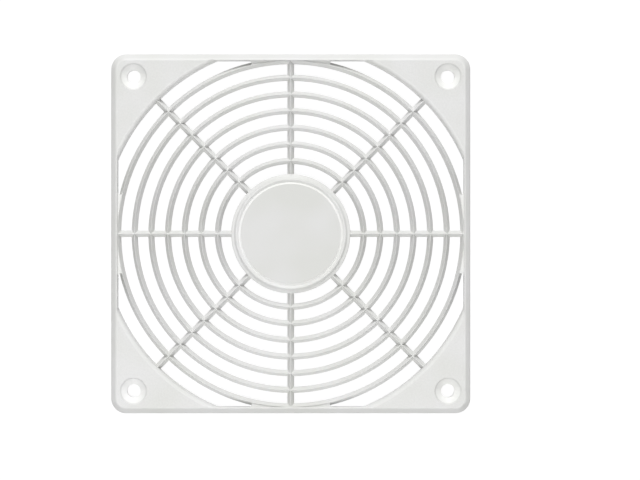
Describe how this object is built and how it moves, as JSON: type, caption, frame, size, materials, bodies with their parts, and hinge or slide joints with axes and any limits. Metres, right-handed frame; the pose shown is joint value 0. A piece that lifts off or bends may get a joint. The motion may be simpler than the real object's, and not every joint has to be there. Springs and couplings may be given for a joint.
{
  "type": "fan guard",
  "caption": "Square moulded plastic guard for an axial fan: concentric rings and spokes round a raised hub disc, with countersunk screw holes in the corner plates.",
  "frame": {"origin": "middle of the flat mounting face, on the fan's axis", "axes": "+Z out of the front, along the fan's axis; X and Y along the sides of the square"},
  "size_m": [0.12, 0.12, 0.0065],
  "materials": {
    "white_plastic": "fine matt texture on the plates, smoother on the ribs"
  },
  "bodies": {
    "root": {"fan_guard": "white_plastic"}
  },
  "joints": []
}
